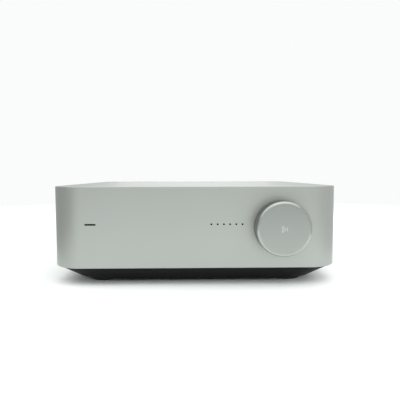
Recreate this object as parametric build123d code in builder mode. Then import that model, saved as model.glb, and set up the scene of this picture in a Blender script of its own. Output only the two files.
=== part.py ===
from build123d import *
import math
import os

os.makedirs("parts", exist_ok=True)

# All sizes are in millimetres. X points right seen from the front, Y to the back and Z up.
# The origin is under the middle of the whole amplifier, on the surface that it stands on.

# Case: a one-piece aluminium shell over a tapered plastic base
case_width = 190.0
case_depth = 190.0
case_corner_radius = 20.6
shell_height = 52.8
shell_wall = 2.2
shell_roof = 2.6
shell_edge_round = 0.5
shell_bottom_bevel = 0.3
base_height = 9.7
base_top_inset = 1.0
base_bottom_inset = 11.0
base_bottom_radius = 27.0
base_floor = 2.2
base_wall = 3.4
base_edge_bevel = 0.5
rim_height = 2.5
rim_wall = 2.2
rim_gap = 0.3

# Feet and, hidden under them, the screws that hold the base to the shell
foot_radius = 10.5
foot_side_inset = 32.0
foot_end_inset = 24.0
foot_recess = 1.2
foot_stand = 1.5
foot_gap = 0.2
foot_bevel = 0.5
boss_radius = 3.8
boss_inset = 25.0
boss_pilot_radius = 1.25
boss_pilot_depth = 12.0
boss_foot_height = 1.8
hidden_sides = 8
tray_post_radius = 4.6
base_screw_head_radius = 2.8
base_screw_head_height = 1.8
base_screw_length = 11.0
base_screw_pocket_radius = 3.2
base_screw_seat = 3.0
vent_from_middle = 22.0
vent_length = 34.0
vent_width = 2.4
vent_pitch = 6.0
vent_rows = 7
screw_shank_radius = 1.2
screw_hole_radius = 1.6

# Volume knob, its encoder and the push switch behind it
knob_side = 40.05
knob_drop = 26.35
knob_radius = 17.4
knob_reach = 11.5
knob_round = 3.0
knob_press_travel = 0.5
knob_clearance = 0.3
knob_gap = knob_press_travel + knob_clearance
knob_recess_radius = 9.0
knob_recess_depth = 4.0
knob_face_thickness = 1.6
shaft_radius = 3.0
shaft_flat = 1.5
shaft_running_gap = 0.05
bush_radius = 3.5
bush_length = 5.6
bush_hole_gap = 0.2
encoder_width = 12.0
encoder_depth = 6.5
encoder_front_wall = 1.2
encoder_back_wall = 1.2
rotor_radius = 5.0
rotor_thickness = 2.4
rotor_gap = 0.3
encoder_washer_radius = 5.6
encoder_washer_thickness = 0.5
encoder_nut_flats = 10.0
encoder_nut_thickness = 2.0
plunger_radius = 1.5
plunger_flange_radius = 2.4
plunger_flange = 0.3
plunger_end_gap = 0.1
plunger_recess = 0.2

# Lights in the front
light_drop = 24.3
status_side = 27.45
status_length = 6.7
status_height = 1.0
level_from_knob = 44.75
level_pitch = 4.0
level_count = 6
level_radius = 0.5
light_gap = 0.07
light_setback = 0.3
guide_flange = 1.2
guide_margin = 1.5
guide_stem_inset = 0.5
level_stem = 2.0
led_gap = 0.3
led_width = 1.6
led_height = 0.8
led_thickness = 0.7

# Front board behind the lights and the encoder
board_thickness = 1.6
front_board_side = 15.0
front_board_height = 20.0
front_boss_left_side = 43.0
front_boss_right_side = 21.0
front_boss_from_lights = 18.2
front_boss_radius = 2.8
small_pilot_radius = 1.0
small_screw_head_radius = 2.2
small_screw_head_height = 1.5
small_screw_length = 5.0
small_shank_radius = 0.95
small_hole_radius = 1.25

# Rear window in the shell and the panel behind it
window_side = 23.0
window_bottom_rise = 5.3
window_above_posts = 3.0
window_corner = 3.0
panel_thickness = 2.5
panel_side_margin = 2.0
panel_bottom_margin = 2.3
panel_top_margin = 4.5
panel_screw_inset = 3.5
panel_screw_rise = 5.0
panel_screw_length = 7.5
panel_lug_width = 7.4
panel_lug_depth = 8.0
panel_lug_foot = 3.0
panel_pilot_depth = 7.0

# Speaker binding posts
post_pitch = 19.05
post_side = 39.0
post_reach = 11.5
post_count = 4
post_bush_radius = 6.5
post_bush_flange = 2.0
post_bush_neck_radius = 4.6
post_bush_neck = 1.0
post_radius = 3.0
post_collar_radius = 4.8
post_collar = 1.2
post_setback = 0.6
post_tail = 6.0
plug_bore_radius = 2.0
plug_bore_depth = 17.0
wire_hole_radius = 1.5
wire_hole_gap = 0.1
clamp_washer_radius = 5.7
clamp_washer = 0.8
cap_radius = 6.2
cap_bevel = 0.6
cap_flutes = 8
cap_flute_radius = 1.3
cap_flute_length = 6.6
thread_gap = 0.06
post_nut_flats = 10.0
post_nut_thickness = 3.2
hole_gap = 0.2
seat_gap = 0.1
speaker_board_height = 14.0
speaker_board_gap = 2.5
speaker_board_margin = 8.0
speaker_board_long_margin = 21.0
strap_width = 2.4
strap_thickness = 0.6
strap_pitch = 3.6
strap_margin = 2.2
strap_rise = 2.0
strap_bend = 2.0
strap_to_block = 2.6

# Main board and its sockets. The inlet and the sockets share the row's free width equally
socket_row_side = 30.65
main_board_rise = 6.2
main_board_side = 30.6
main_board_margin = 0.5
main_board_depth = 118.0
board_to_panel = 0.6
network_width = 16.0
network_height = 13.5
network_depth = 21.0
network_port_width = 11.9
network_port_height = 7.0
network_port_depth = 14.0
network_latch_width = 6.0
network_latch_height = 2.4
network_port_rise = 4.6
network_contact_count = 8
network_contact_pitch = 1.02
network_contact_size = 0.4
network_contact_length = 9.0
network_contact_drop = 1.2
usb_width = 13.1
usb_height = 5.7
usb_depth = 14.0
usb_wall = 0.3
usb_tongue_thickness = 1.8
usb_tongue_width = 11.1
usb_tongue_gap = 0.4
hdmi_width = 15.0
hdmi_height = 5.6
hdmi_depth = 12.0
hdmi_wall = 0.4
hdmi_corner = 1.6
hdmi_tongue_thickness = 1.2
hdmi_tongue_width = 10.8
tongue_block = 3.0
tongue_setback = 1.0
socket_proud = 0.5
optical_width = 9.8
optical_height = 9.8
optical_depth = 13.5
optical_wall = 1.1
optical_back = 3.5
shutter_thickness = 0.8
shutter_gap = 0.2
shutter_barrel_radius = 0.7
shutter_pin_radius = 0.45
shutter_pin_length = 0.6
shutter_setback = 1.2
phono_colours = ["white", "red", "black"]
phono_rise = 7.5
phono_block_width = 10.0
phono_block_height = 12.5
phono_block_depth = 12.0
phono_barrel_radius = 4.15
phono_neck_radius = 4.0
phono_core_radius = 3.4
phono_barrel_reach = 9.2
phono_ring_radius = 5.0
phono_ring = 0.8
phono_core_setback = 0.6
phono_bore_radius = 1.65
phono_bore_depth = 8.6

# Mains inlet with two pins
inlet_width = 21.0
inlet_height = 12.6
inlet_depth = 19.0
inlet_flange_margin = 1.4
inlet_flange = 1.6
inlet_lobe_radius = 4.1
inlet_pin_pitch = 8.6
inlet_waist = 6.6
inlet_port_depth = 12.0
inlet_pin_radius = 1.2
inlet_pin_setback = 2.0
inlet_tail = 3.0
inlet_collar_radius = 1.8
inlet_collar = 1.0
lead_radius = 1.1
lead_bend = 5.0

# Power board on the left
power_board_side = 11.0
power_board_width = 42.0
power_board_length = 116.0
power_board_rise = 6.0
standoff_radius = 3.0
standoff_inset = 4.5
left_standoff_depth = 16.7
right_standoff_depth = 23.7

# Parts on the main board, each placed by its distance from the board's rear left corner
amplifier_chip_width = 14.0
amplifier_chip_height = 1.2
pad_width = 16.0
pad_thickness = 0.5
logic_chips = [((50.0, 98.0), 14.0, 1.4), ((34.0, 98.0), 9.0, 1.0), ((36.0, 86.5), 7.0, 0.9)]
sink_place = (52.0, 57.7)
sink_width = 52.0
sink_depth = 44.0
sink_base = 3.0
fin_count = 9
fin_thickness = 1.4
fin_height = 22.0
sink_leg_radius = 2.0
sink_leg_inset = 3.0
coil_first_x = 12.0
coil_pitch = 14.0
coil_y = 27.0
coil_width = 11.0
coil_height = 9.0
film_y = 18.4
film_width = 7.0
film_depth = 3.6
film_height = 7.0
can_places = [(11.0, 47.0), (11.0, 67.0)]
can_radius = 8.0
can_height = 25.0
radio_from_right = 13.4
radio_from_front = 20.0
radio_width = 20.0
radio_depth = 24.0
radio_height = 3.0
antenna_inset = 24.0
antenna_width = 42.0
antenna_depth = 8.0
antenna_thickness = 0.8

# Parts on the power board, placed the same way
fuse_place = (16.0, 12.0)
fuse_radius = 4.25
fuse_height = 8.0
safety_place = (28.0, 24.0)
safety_width = 18.0
safety_depth = 9.0
safety_height = 16.0
bridge_place = (9.5, 24.0)
bridge_width = 15.0
bridge_depth = 4.0
bridge_height = 11.0
choke_place = (28.0, 41.0)
choke_width = 18.0
choke_height = 18.0
choke_depth = 5.0
choke_leg = 4.0
reservoir_place = (12.0, 59.5)
reservoir_radius = 9.0
reservoir_height = 32.0
transformer_place = (21.0, 82.0)
core_width = 32.0
core_height = 26.0
core_depth = 11.0
core_leg = 5.0
winding_gap = 0.3
winding_split = 2.0
winding_round = 2.0
plate_place = (21.0, 97.5)
plate_width = 36.0
plate_height = 25.0
plate_thickness = 2.0
transistor_width = 10.0
transistor_depth = 4.5
transistor_height = 15.0
small_can_places = [(13.0, 110.0), (24.5, 110.0)]
small_can_radius = 5.0
small_can_height = 20.0

# Ribbon and leads inside the case
ribbon_from_left = 18.0
ribbon_width = 12.0
ribbon_thickness = 0.4
ribbon_bend = 6.0
ribbon_drop = 5.0
ribbon_level_run = 14.0
connector_height = 4.0
connector_depth = 4.5
connector_inset = 3.0
connector_overhang = 2.0
lead_landing = 8.0
supply_start = (36.0, 105.0)
supply_end = (7.0, 100.0)
supply_height = 28.0
supply_pitch = 4.0

# Places worked out from the sizes above
shell_bottom = foot_stand + base_height
case_top = shell_bottom + shell_height
case_middle_y = (knob_reach - post_reach) / 2
front_face = case_middle_y - case_depth / 2
rear_face = case_middle_y + case_depth / 2
front_inside = front_face + shell_wall
rear_inside = rear_face - shell_wall
roof_inside = case_top - shell_roof
floor_top = foot_stand + base_floor
knob_x = case_width / 2 - knob_side
knob_z = case_top - knob_drop
light_z = case_top - light_drop
status_x = status_side - case_width / 2
level_first_x = knob_x - level_from_knob
level_places = [(level_first_x + i * level_pitch, light_z) for i in range(level_count)]
boss_x = case_width / 2 - boss_inset
boss_y = case_depth / 2 - boss_inset
boss_places = [(sx * boss_x, case_middle_y + sy * boss_y) for sx in (-1, 1) for sy in (-1, 1)]
foot_x = case_width / 2 - foot_side_inset
foot_y = case_depth / 2 - foot_end_inset
foot_places = [(sx * foot_x, case_middle_y + sy * foot_y) for sx in (-1, 1) for sy in (-1, 1)]
boss_foot = shell_bottom + boss_foot_height
main_board_bottom = shell_bottom + main_board_rise
main_board_top = main_board_bottom + board_thickness
post_z = main_board_top + network_height + speaker_board_gap + speaker_board_height / 2
power_board_bottom = floor_top + power_board_rise
power_board_top = power_board_bottom + board_thickness
encoder_back = front_inside + encoder_depth
front_board_back = encoder_back + board_thickness
front_bosses = [
    (front_boss_left_side - case_width / 2, knob_z),
    (level_first_x - front_boss_from_lights, knob_z),
    (case_width / 2 - front_boss_right_side, knob_z),
]
panel_inside = rear_inside - panel_thickness
window_bottom = shell_bottom + window_bottom_rise
window_top = post_z + post_bush_radius + window_above_posts
window_height = window_top - window_bottom
window_width = case_width - 2 * window_side
panel_bottom = window_bottom - panel_bottom_margin
panel_top = window_top + panel_top_margin
panel_screw_low = window_bottom + panel_screw_rise
panel_screw_high = window_top - panel_screw_rise
panel_screw_x = window_width / 2 - panel_screw_inset
panel_screw_places = [
    (sx * panel_screw_x, z) for sx in (-1, 1) for z in (panel_screw_low, panel_screw_high)
]
panel_lug_places = [(sx * panel_screw_x, panel_inside - panel_lug_depth / 2) for sx in (-1, 1)]
post_places = [case_width / 2 - post_side - i * post_pitch for i in range(post_count)]
post_names = ["right_plus", "right_minus", "left_minus", "left_plus"]
inlet_z = (window_bottom + window_top) / 2

# Row of sockets along the rear panel, from the inlet on the left to the network socket
row_widths = [
    inlet_width + 2 * inlet_flange_margin,
    2 * phono_ring_radius,
    2 * phono_ring_radius,
    2 * phono_ring_radius,
    optical_width,
    hdmi_width,
    usb_width,
    network_width,
]
row_length = case_width - 2 * socket_row_side
row_gap = (row_length - sum(row_widths)) / (len(row_widths) - 1)
row_places = [
    sum(row_widths[:i]) + i * row_gap + row_widths[i] / 2 - row_length / 2 for i in range(len(row_widths))
]
inlet_x = row_places[0]
phono_places = row_places[1:4]
optical_x, hdmi_x, usb_x, network_x = row_places[4:]

# Boards
main_board_left = phono_places[0] - phono_block_width / 2 - main_board_margin
main_board_right = case_width / 2 - main_board_side
main_board_back = panel_inside - board_to_panel
main_board_front = main_board_back - main_board_depth
main_standoffs = [
    (main_board_left + standoff_inset, main_board_front + standoff_inset),
    (main_board_right - standoff_inset, main_board_front + standoff_inset),
    (main_board_left + standoff_inset, main_board_back - left_standoff_depth),
    (main_board_right - standoff_inset, main_board_back - right_standoff_depth),
]
power_board_left = power_board_side - case_width / 2
power_board_right = power_board_left + power_board_width
power_board_front = case_middle_y - power_board_length / 2
power_board_back = case_middle_y + power_board_length / 2
power_standoffs = [
    (x, y)
    for x in (power_board_left + standoff_inset, power_board_right - standoff_inset)
    for y in (power_board_front + standoff_inset, power_board_back - standoff_inset)
]


def level(z):
    return Plane.XY.offset(z)


def upright(y):
    # A plane across the case at y: its X is the case's X, its Y is up and it faces the front
    return Plane.XZ.offset(-y)


def knob_plane(y):
    return Plane(origin=(knob_x, y, knob_z), x_dir=(1, 0, 0), z_dir=(0, -1, 0))


def case_outline(inset, radius):
    with Locations((0, case_middle_y)):
        RectangleRounded(case_width - 2 * inset, case_depth - 2 * inset, radius)


def add_rods(plane, places, radius, length, mode=Mode.ADD):
    with BuildSketch(plane) as section:
        with Locations(*places):
            Circle(radius)
    extrude(section.sketch, amount=length, mode=mode)


def add_blocks(plane, places, width, height, length, corner=0.0, mode=Mode.ADD):
    with BuildSketch(plane) as section:
        with Locations(*places):
            if corner > 0:
                RectangleRounded(width, height, corner)
            else:
                Rectangle(width, height)
    extrude(section.sketch, amount=length, mode=mode)


def add_pegs(plane, places, radius, length, mode=Mode.ADD):
    # Shanks, pilot holes and posts that stay hidden have a few flat sides
    with BuildSketch(plane) as section:
        with Locations(*places):
            RegularPolygon(radius, hidden_sides)
    extrude(section.sketch, amount=length, mode=mode)


def add_slots(plane, places, width, height, length, mode=Mode.ADD):
    with BuildSketch(plane) as section:
        with Locations(*places):
            SlotOverall(width, height)
    extrude(section.sketch, amount=length, mode=mode)


def write_piece(piece, name):
    piece.part.label = name
    export_step(piece.part, f"parts/{name}.step")


# Shell: top and four walls in one, with the posts that the base and the boards screw to
with BuildPart() as shell:
    with BuildSketch(level(shell_bottom)):
        case_outline(0, case_corner_radius)
    extrude(amount=shell_height)
    fillet(shell.edges().group_by(Axis.Z)[-1], shell_edge_round)
    chamfer(shell.edges().group_by(Axis.Z)[0], shell_bottom_bevel)
    with BuildSketch(level(shell_bottom)):
        case_outline(shell_wall, case_corner_radius - shell_wall)
    extrude(amount=shell_height - shell_roof, mode=Mode.SUBTRACT)
    add_pegs(level(boss_foot), boss_places, boss_radius, roof_inside - boss_foot)
    add_pegs(level(boss_foot), boss_places, boss_pilot_radius, boss_pilot_depth, Mode.SUBTRACT)
    # Two lugs that hang from the roof behind the rear panel's upper screws
    lug_bottom = panel_screw_high - panel_lug_width / 2
    add_blocks(
        level(lug_bottom), panel_lug_places, panel_lug_width, panel_lug_depth, roof_inside - lug_bottom
    )
    high_screws = [(sx * panel_screw_x, panel_screw_high) for sx in (-1, 1)]
    add_pegs(upright(panel_inside), high_screws, boss_pilot_radius, panel_pilot_depth, Mode.SUBTRACT)
    # Short posts inside the front wall for the front board
    add_pegs(upright(encoder_back), front_bosses, front_boss_radius, encoder_depth)
    add_pegs(
        upright(encoder_back), front_bosses, small_pilot_radius, small_screw_length, Mode.SUBTRACT
    )
    # Holes in the front: encoder bush, status slot and the row of level lights
    add_rods(
        upright(front_inside), [(knob_x, knob_z)], bush_radius + bush_hole_gap, shell_wall, Mode.SUBTRACT
    )
    add_slots(
        upright(front_inside), [(status_x, light_z)], status_length, status_height, shell_wall, Mode.SUBTRACT
    )
    add_rods(upright(front_inside), level_places, level_radius, shell_wall, Mode.SUBTRACT)
    # Rear window
    add_blocks(
        upright(rear_face), [(0, (window_bottom + window_top) / 2)], window_width, window_height,
        shell_wall, window_corner, Mode.SUBTRACT,
    )
write_piece(shell, "shell")


# Base tray: a skirt that tapers in to a flat underside, with a rim that locates in the shell
def skirt_share(z):
    return (z - foot_stand) / base_height


def skirt_inset(z):
    return base_bottom_inset + (base_top_inset - base_bottom_inset) * skirt_share(z)


def skirt_radius(z):
    top_radius = case_corner_radius - base_top_inset
    return base_bottom_radius + (top_radius - base_bottom_radius) * skirt_share(z)


rim_inset = shell_wall + rim_gap
hollow_inset = rim_inset + rim_wall
post_root = foot_stand + base_floor / 2
screw_seat = boss_foot - base_screw_seat
with BuildPart() as base_tray:
    bevel_top = foot_stand + base_edge_bevel
    with BuildSketch(level(foot_stand)):
        case_outline(base_bottom_inset + base_edge_bevel, base_bottom_radius - base_edge_bevel)
    with BuildSketch(level(bevel_top)):
        case_outline(skirt_inset(bevel_top), skirt_radius(bevel_top))
    loft(ruled=True)
    with BuildSketch(level(bevel_top)):
        case_outline(skirt_inset(bevel_top), skirt_radius(bevel_top))
    with BuildSketch(level(shell_bottom)):
        case_outline(base_top_inset, case_corner_radius - base_top_inset)
    loft(ruled=True)
    with BuildSketch(level(shell_bottom)):
        case_outline(rim_inset, case_corner_radius - rim_inset)
    extrude(amount=rim_height)
    with BuildSketch(level(floor_top)):
        case_outline(skirt_inset(floor_top) + base_wall, skirt_radius(floor_top) - base_wall)
    with BuildSketch(level(shell_bottom)):
        case_outline(hollow_inset, case_corner_radius - hollow_inset)
    loft(ruled=True, mode=Mode.SUBTRACT)
    with BuildSketch(level(shell_bottom)):
        case_outline(hollow_inset, case_corner_radius - hollow_inset)
    extrude(amount=rim_height, mode=Mode.SUBTRACT)
    # Posts for the shell's screws, open from below for the heads
    add_pegs(level(post_root), boss_places, tray_post_radius, boss_foot - post_root)
    add_pegs(level(foot_stand), boss_places, base_screw_pocket_radius, screw_seat - foot_stand, Mode.SUBTRACT)
    add_pegs(level(foot_stand), boss_places, screw_hole_radius, boss_foot - foot_stand, Mode.SUBTRACT)
    # Standoffs for the two boards
    for places, top in ((main_standoffs, main_board_bottom), (power_standoffs, power_board_bottom)):
        add_pegs(level(post_root), places, standoff_radius, top - post_root)
        add_pegs(level(floor_top), places, small_pilot_radius, top - floor_top, Mode.SUBTRACT)
    # Two lugs on the rim behind the rear panel's lower screws
    lug_foot = shell_bottom - panel_lug_foot
    lug_top = panel_screw_low + panel_lug_width / 2
    add_blocks(level(lug_foot), panel_lug_places, panel_lug_width, panel_lug_depth, lug_top - lug_foot)
    low_screws = [(sx * panel_screw_x, panel_screw_low) for sx in (-1, 1)]
    add_pegs(upright(panel_inside), low_screws, boss_pilot_radius, panel_pilot_depth, Mode.SUBTRACT)
    # Pockets for the feet and two fields of vent slots
    add_rods(level(foot_stand), foot_places, foot_radius + foot_gap, foot_recess, Mode.SUBTRACT)
    with BuildSketch(level(foot_stand)):
        for x in (-vent_from_middle, vent_from_middle):
            with Locations((x, case_middle_y)):
                with GridLocations(0, vent_pitch, 1, vent_rows):
                    Rectangle(vent_length, vent_width)
    extrude(amount=base_floor, mode=Mode.SUBTRACT)
write_piece(base_tray, "base_tray")

with BuildPart() as rubber_feet:
    add_rods(level(0), foot_places, foot_radius, foot_stand + foot_recess)
    chamfer(rubber_feet.edges().group_by(Axis.Z)[0], foot_bevel)
write_piece(rubber_feet, "rubber_feet")

with BuildPart() as base_screws:
    add_pegs(level(screw_seat), boss_places, base_screw_head_radius, -base_screw_head_height)
    add_pegs(level(screw_seat), boss_places, screw_shank_radius, base_screw_length)
write_piece(base_screws, "base_screws")


# Knob, shaft and encoder, all on one axis across the front wall
knob_back = front_face - knob_gap
knob_front = front_face - knob_reach
shaft_front = knob_front + knob_face_thickness
recess_floor = knob_back - knob_recess_depth
plunger_face = encoder_back - encoder_back_wall - plunger_flange - knob_press_travel - plunger_end_gap
plunger_end = encoder_back - knob_press_travel - plunger_recess
rotor_front = front_inside + encoder_front_wall + rotor_gap


def shaft_section(gap=0.0):
    size = 4 * shaft_radius
    Circle(shaft_radius + gap)
    with Locations((0, shaft_flat + gap + size / 2)):
        Rectangle(size, size, mode=Mode.SUBTRACT)


with BuildPart() as volume_knob:
    with BuildSketch(knob_plane(knob_back)):
        Circle(knob_radius)
    extrude(amount=knob_back - knob_front)
    fillet(volume_knob.edges().group_by(Axis.Y)[0], knob_round)
    with BuildSketch(knob_plane(knob_back)):
        Circle(knob_recess_radius)
    extrude(amount=knob_recess_depth, mode=Mode.SUBTRACT)
    with BuildSketch(knob_plane(recess_floor)):
        shaft_section(shaft_running_gap)
    extrude(amount=recess_floor - shaft_front, mode=Mode.SUBTRACT)
write_piece(volume_knob, "volume_knob")

with BuildPart() as encoder_shaft:
    with BuildSketch(knob_plane(plunger_face)):
        shaft_section()
    extrude(amount=plunger_face - shaft_front)
write_piece(encoder_shaft, "encoder_shaft")

with BuildPart() as encoder_rotor:
    with BuildSketch(knob_plane(rotor_front + rotor_thickness)):
        Circle(rotor_radius)
    extrude(amount=rotor_thickness)
    with BuildSketch(knob_plane(rotor_front + rotor_thickness)):
        shaft_section(shaft_running_gap)
    extrude(amount=rotor_thickness, mode=Mode.SUBTRACT)
write_piece(encoder_rotor, "encoder_rotor")

with BuildPart() as encoder_housing:
    with BuildSketch(knob_plane(encoder_back)):
        Rectangle(encoder_width, encoder_width)
    extrude(amount=encoder_depth)
    with BuildSketch(knob_plane(front_inside)):
        Circle(bush_radius)
    extrude(amount=bush_length)
    with BuildSketch(knob_plane(encoder_back - encoder_back_wall)):
        Circle(rotor_radius + rotor_gap)
    extrude(amount=encoder_depth - encoder_back_wall - encoder_front_wall, mode=Mode.SUBTRACT)
    with BuildSketch(knob_plane(encoder_back)):
        Circle(plunger_radius + hole_gap)
    extrude(amount=encoder_back_wall, mode=Mode.SUBTRACT)
    with BuildSketch(knob_plane(front_inside + encoder_front_wall)):
        Circle(shaft_radius + shaft_running_gap)
    extrude(amount=encoder_front_wall + bush_length, mode=Mode.SUBTRACT)
write_piece(encoder_housing, "encoder_housing")

with BuildPart() as encoder_plunger:
    with BuildSketch(knob_plane(plunger_face + plunger_flange)):
        Circle(plunger_flange_radius)
    extrude(amount=plunger_flange)
    with BuildSketch(knob_plane(plunger_end)):
        Circle(plunger_radius)
    extrude(amount=plunger_end - plunger_face)
write_piece(encoder_plunger, "encoder_plunger")

with BuildPart() as encoder_nut:
    with BuildSketch(knob_plane(front_face)):
        Circle(encoder_washer_radius)
        Circle(bush_radius + seat_gap, mode=Mode.SUBTRACT)
    extrude(amount=encoder_washer_thickness)
    with BuildSketch(knob_plane(front_face - encoder_washer_thickness)):
        RegularPolygon(encoder_nut_flats / 2, 6, major_radius=False)
        Circle(bush_radius + seat_gap, mode=Mode.SUBTRACT)
    extrude(amount=encoder_nut_thickness)
write_piece(encoder_nut, "encoder_nut")


# Light guides and the lamps behind them
led_front = encoder_back - led_thickness
guide_back = led_front - led_gap
guide_face = front_inside + guide_flange
with BuildPart() as status_light_guide:
    add_slots(
        upright(front_inside), [(status_x, light_z)], status_length - 2 * light_gap,
        status_height - 2 * light_gap, shell_wall - light_setback,
    )
    add_blocks(
        upright(guide_face), [(status_x, light_z)], status_length + 2 * guide_margin,
        status_height + 2 * guide_margin, guide_flange,
    )
    add_blocks(
        upright(guide_back), [(status_x, light_z)], status_length - 2 * guide_stem_inset,
        status_height + 2 * guide_stem_inset, guide_back - guide_face,
    )
write_piece(status_light_guide, "status_light_guide")

level_length = (level_count - 1) * level_pitch
level_middle = level_first_x + level_length / 2
with BuildPart() as level_light_guide:
    add_pegs(upright(front_inside), level_places, level_radius - light_gap, shell_wall - light_setback)
    add_blocks(
        upright(guide_face), [(level_middle, light_z)], level_length + level_stem + 2 * guide_stem_inset,
        level_stem + 2 * guide_stem_inset, guide_flange,
    )
    add_blocks(upright(guide_back), level_places, level_stem, level_stem, guide_back - guide_face)
write_piece(level_light_guide, "level_light_guide")

with BuildPart() as front_leds:
    add_blocks(
        upright(encoder_back), [(status_x, light_z)] + level_places, led_width, led_height, led_thickness
    )
write_piece(front_leds, "front_leds")

with BuildPart() as front_board:
    add_blocks(
        upright(front_board_back), [(0, knob_z)], case_width - 2 * front_board_side, front_board_height,
        board_thickness,
    )
    add_pegs(upright(front_board_back), front_bosses, small_hole_radius, board_thickness, Mode.SUBTRACT)
write_piece(front_board, "front_board")


# Rear panel with its socket openings
usb_z = main_board_top + usb_height / 2
hdmi_z = main_board_top + hdmi_height / 2
optical_z = main_board_top + optical_height / 2
network_z = main_board_top + network_height / 2
phono_z = main_board_top + phono_rise
socket_face = rear_inside + socket_proud
with BuildPart() as rear_panel:
    with BuildSketch(upright(rear_inside)):
        with Locations((0, (panel_bottom + panel_top) / 2)):
            Rectangle(window_width + 2 * panel_side_margin, panel_top - panel_bottom)
        for x, z, width, height in (
            (network_x, network_z, network_width, network_height),
            (usb_x, usb_z, usb_width, usb_height),
            (hdmi_x, hdmi_z, hdmi_width, hdmi_height),
            (optical_x, optical_z, optical_width, optical_height),
            (inlet_x, inlet_z, inlet_width, inlet_height),
        ):
            with Locations((x, z)):
                Rectangle(width + 2 * hole_gap, height + 2 * hole_gap, mode=Mode.SUBTRACT)
        with Locations(*[(x, phono_z) for x in phono_places]):
            Circle(phono_barrel_radius + 2 * hole_gap, mode=Mode.SUBTRACT)
        with Locations(*[(x, post_z) for x in post_places]):
            Circle(post_bush_neck_radius + hole_gap, mode=Mode.SUBTRACT)
        with Locations(*panel_screw_places):
            RegularPolygon(screw_hole_radius, hidden_sides, mode=Mode.SUBTRACT)
    extrude(amount=panel_thickness)
write_piece(rear_panel, "rear_panel")

with BuildPart() as rear_panel_screws:
    add_rods(upright(rear_inside), panel_screw_places, base_screw_head_radius, -base_screw_head_height)
    add_pegs(upright(rear_inside), panel_screw_places, screw_shank_radius, panel_screw_length)
write_piece(rear_panel_screws, "rear_panel_screws")


# Binding posts: insulating bush, drilled stud, clamp washer, fluted cap and nut
bush_face = rear_inside + post_bush_flange
collar_face = bush_face + post_collar
washer_face = collar_face + clamp_washer
cap_face = rear_face + post_reach
stud_face = cap_face - post_setback
bush_end = panel_inside - post_bush_neck
speaker_board_inside = bush_end - board_thickness
nut_end = speaker_board_inside - post_nut_thickness
stud_end = nut_end - (post_tail - post_nut_thickness)
post_points = [(x, post_z) for x in post_places]
# The corners of a hidden eight-sided hole whose flats clear the stud
stud_hole_radius = (post_radius + seat_gap) / math.cos(math.pi / hidden_sides)
with BuildPart() as post_bushes:
    add_rods(upright(bush_face), post_points, post_bush_radius, post_bush_flange)
    add_rods(upright(rear_inside), post_points, post_bush_neck_radius, rear_inside - bush_end)
    add_pegs(upright(bush_face), post_points, stud_hole_radius, bush_face - bush_end, Mode.SUBTRACT)
write_piece(post_bushes, "post_bushes")

with BuildPart() as post_studs:
    add_rods(upright(stud_face), post_points, post_radius, stud_face - stud_end)
    add_rods(upright(collar_face), post_points, post_collar_radius, post_collar)
    add_rods(upright(stud_face), post_points, plug_bore_radius, plug_bore_depth, Mode.SUBTRACT)
    # The hole for a bare wire crosses the post just clear of the washer, hidden by the cap
    wire_hole_y = washer_face + wire_hole_gap + wire_hole_radius
    with BuildSketch(level(post_z)):
        with Locations(*[(x, wire_hole_y) for x in post_places]):
            RegularPolygon(wire_hole_radius, hidden_sides)
    extrude(amount=post_collar_radius, both=True, mode=Mode.SUBTRACT)
write_piece(post_studs, "post_studs")

with BuildPart() as post_nuts:
    with BuildSketch(upright(speaker_board_inside)):
        with Locations(*post_points):
            RegularPolygon(post_nut_flats / 2, 6, major_radius=False)
            RegularPolygon(post_radius + seat_gap, hidden_sides, major_radius=False, mode=Mode.SUBTRACT)
    extrude(amount=post_nut_thickness)
write_piece(post_nuts, "post_nuts")

for x, name in zip(post_places, post_names):
    with BuildPart() as clamp_washer_piece:
        with BuildSketch(upright(washer_face)):
            with Locations((x, post_z)):
                Circle(clamp_washer_radius)
                Circle(post_radius + thread_gap, mode=Mode.SUBTRACT)
        extrude(amount=clamp_washer)
    write_piece(clamp_washer_piece, f"clamp_washer_{name}")

    with BuildPart() as post_cap:
        with BuildSketch(upright(cap_face)):
            with Locations((x, post_z)):
                Circle(cap_radius)
        extrude(amount=cap_face - washer_face)
        chamfer(post_cap.edges().group_by(Axis.Y)[-1], cap_bevel)
        with BuildSketch(upright(cap_face)):
            with Locations((x, post_z)):
                with PolarLocations(cap_radius + cap_flute_radius / 2, cap_flutes):
                    Circle(cap_flute_radius)
        extrude(amount=cap_flute_length, mode=Mode.SUBTRACT)
        with BuildSketch(upright(cap_face)):
            with Locations((x, post_z)):
                Circle(post_radius + thread_gap)
        extrude(amount=cap_face - washer_face, mode=Mode.SUBTRACT)
    write_piece(post_cap, f"post_cap_{name}")

speaker_board_left = post_places[-1] - speaker_board_long_margin
speaker_board_right = post_places[0] + speaker_board_margin
with BuildPart() as speaker_board:
    add_blocks(
        upright(bush_end), [((speaker_board_left + speaker_board_right) / 2, post_z)],
        speaker_board_right - speaker_board_left, speaker_board_height, board_thickness,
    )
    add_pegs(upright(bush_end), post_points, stud_hole_radius, board_thickness, Mode.SUBTRACT)
write_piece(speaker_board, "speaker_board")


def add_run(points, bend, width, thickness=None):
    # A flat strip, or a six-sided lead of that radius, along straight runs joined by arcs
    with BuildLine() as route:
        FilletPolyline(*points, radius=bend)
    with BuildSketch(Plane(origin=route.line @ 0, x_dir=(1, 0, 0), z_dir=route.line % 0)) as section:
        if thickness:
            Rectangle(width, thickness)
        else:
            RegularPolygon(width, 6)
    sweep(section.sketch, path=route.line)


# Four flat straps join the speaker board to the main board, in front of the phono blocks
strap_z = post_z - speaker_board_height / 2 + strap_rise
strap_front = panel_inside - phono_block_depth - strap_to_block
with BuildPart() as speaker_straps:
    for i in range(post_count):
        strap_x = speaker_board_left + strap_margin + i * strap_pitch
        add_run(
            [
                (strap_x, speaker_board_inside, strap_z),
                (strap_x, strap_front, strap_z),
                (strap_x, strap_front, main_board_top),
            ],
            strap_bend, strap_width, strap_thickness,
        )
write_piece(speaker_straps, "speaker_straps")


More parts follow.
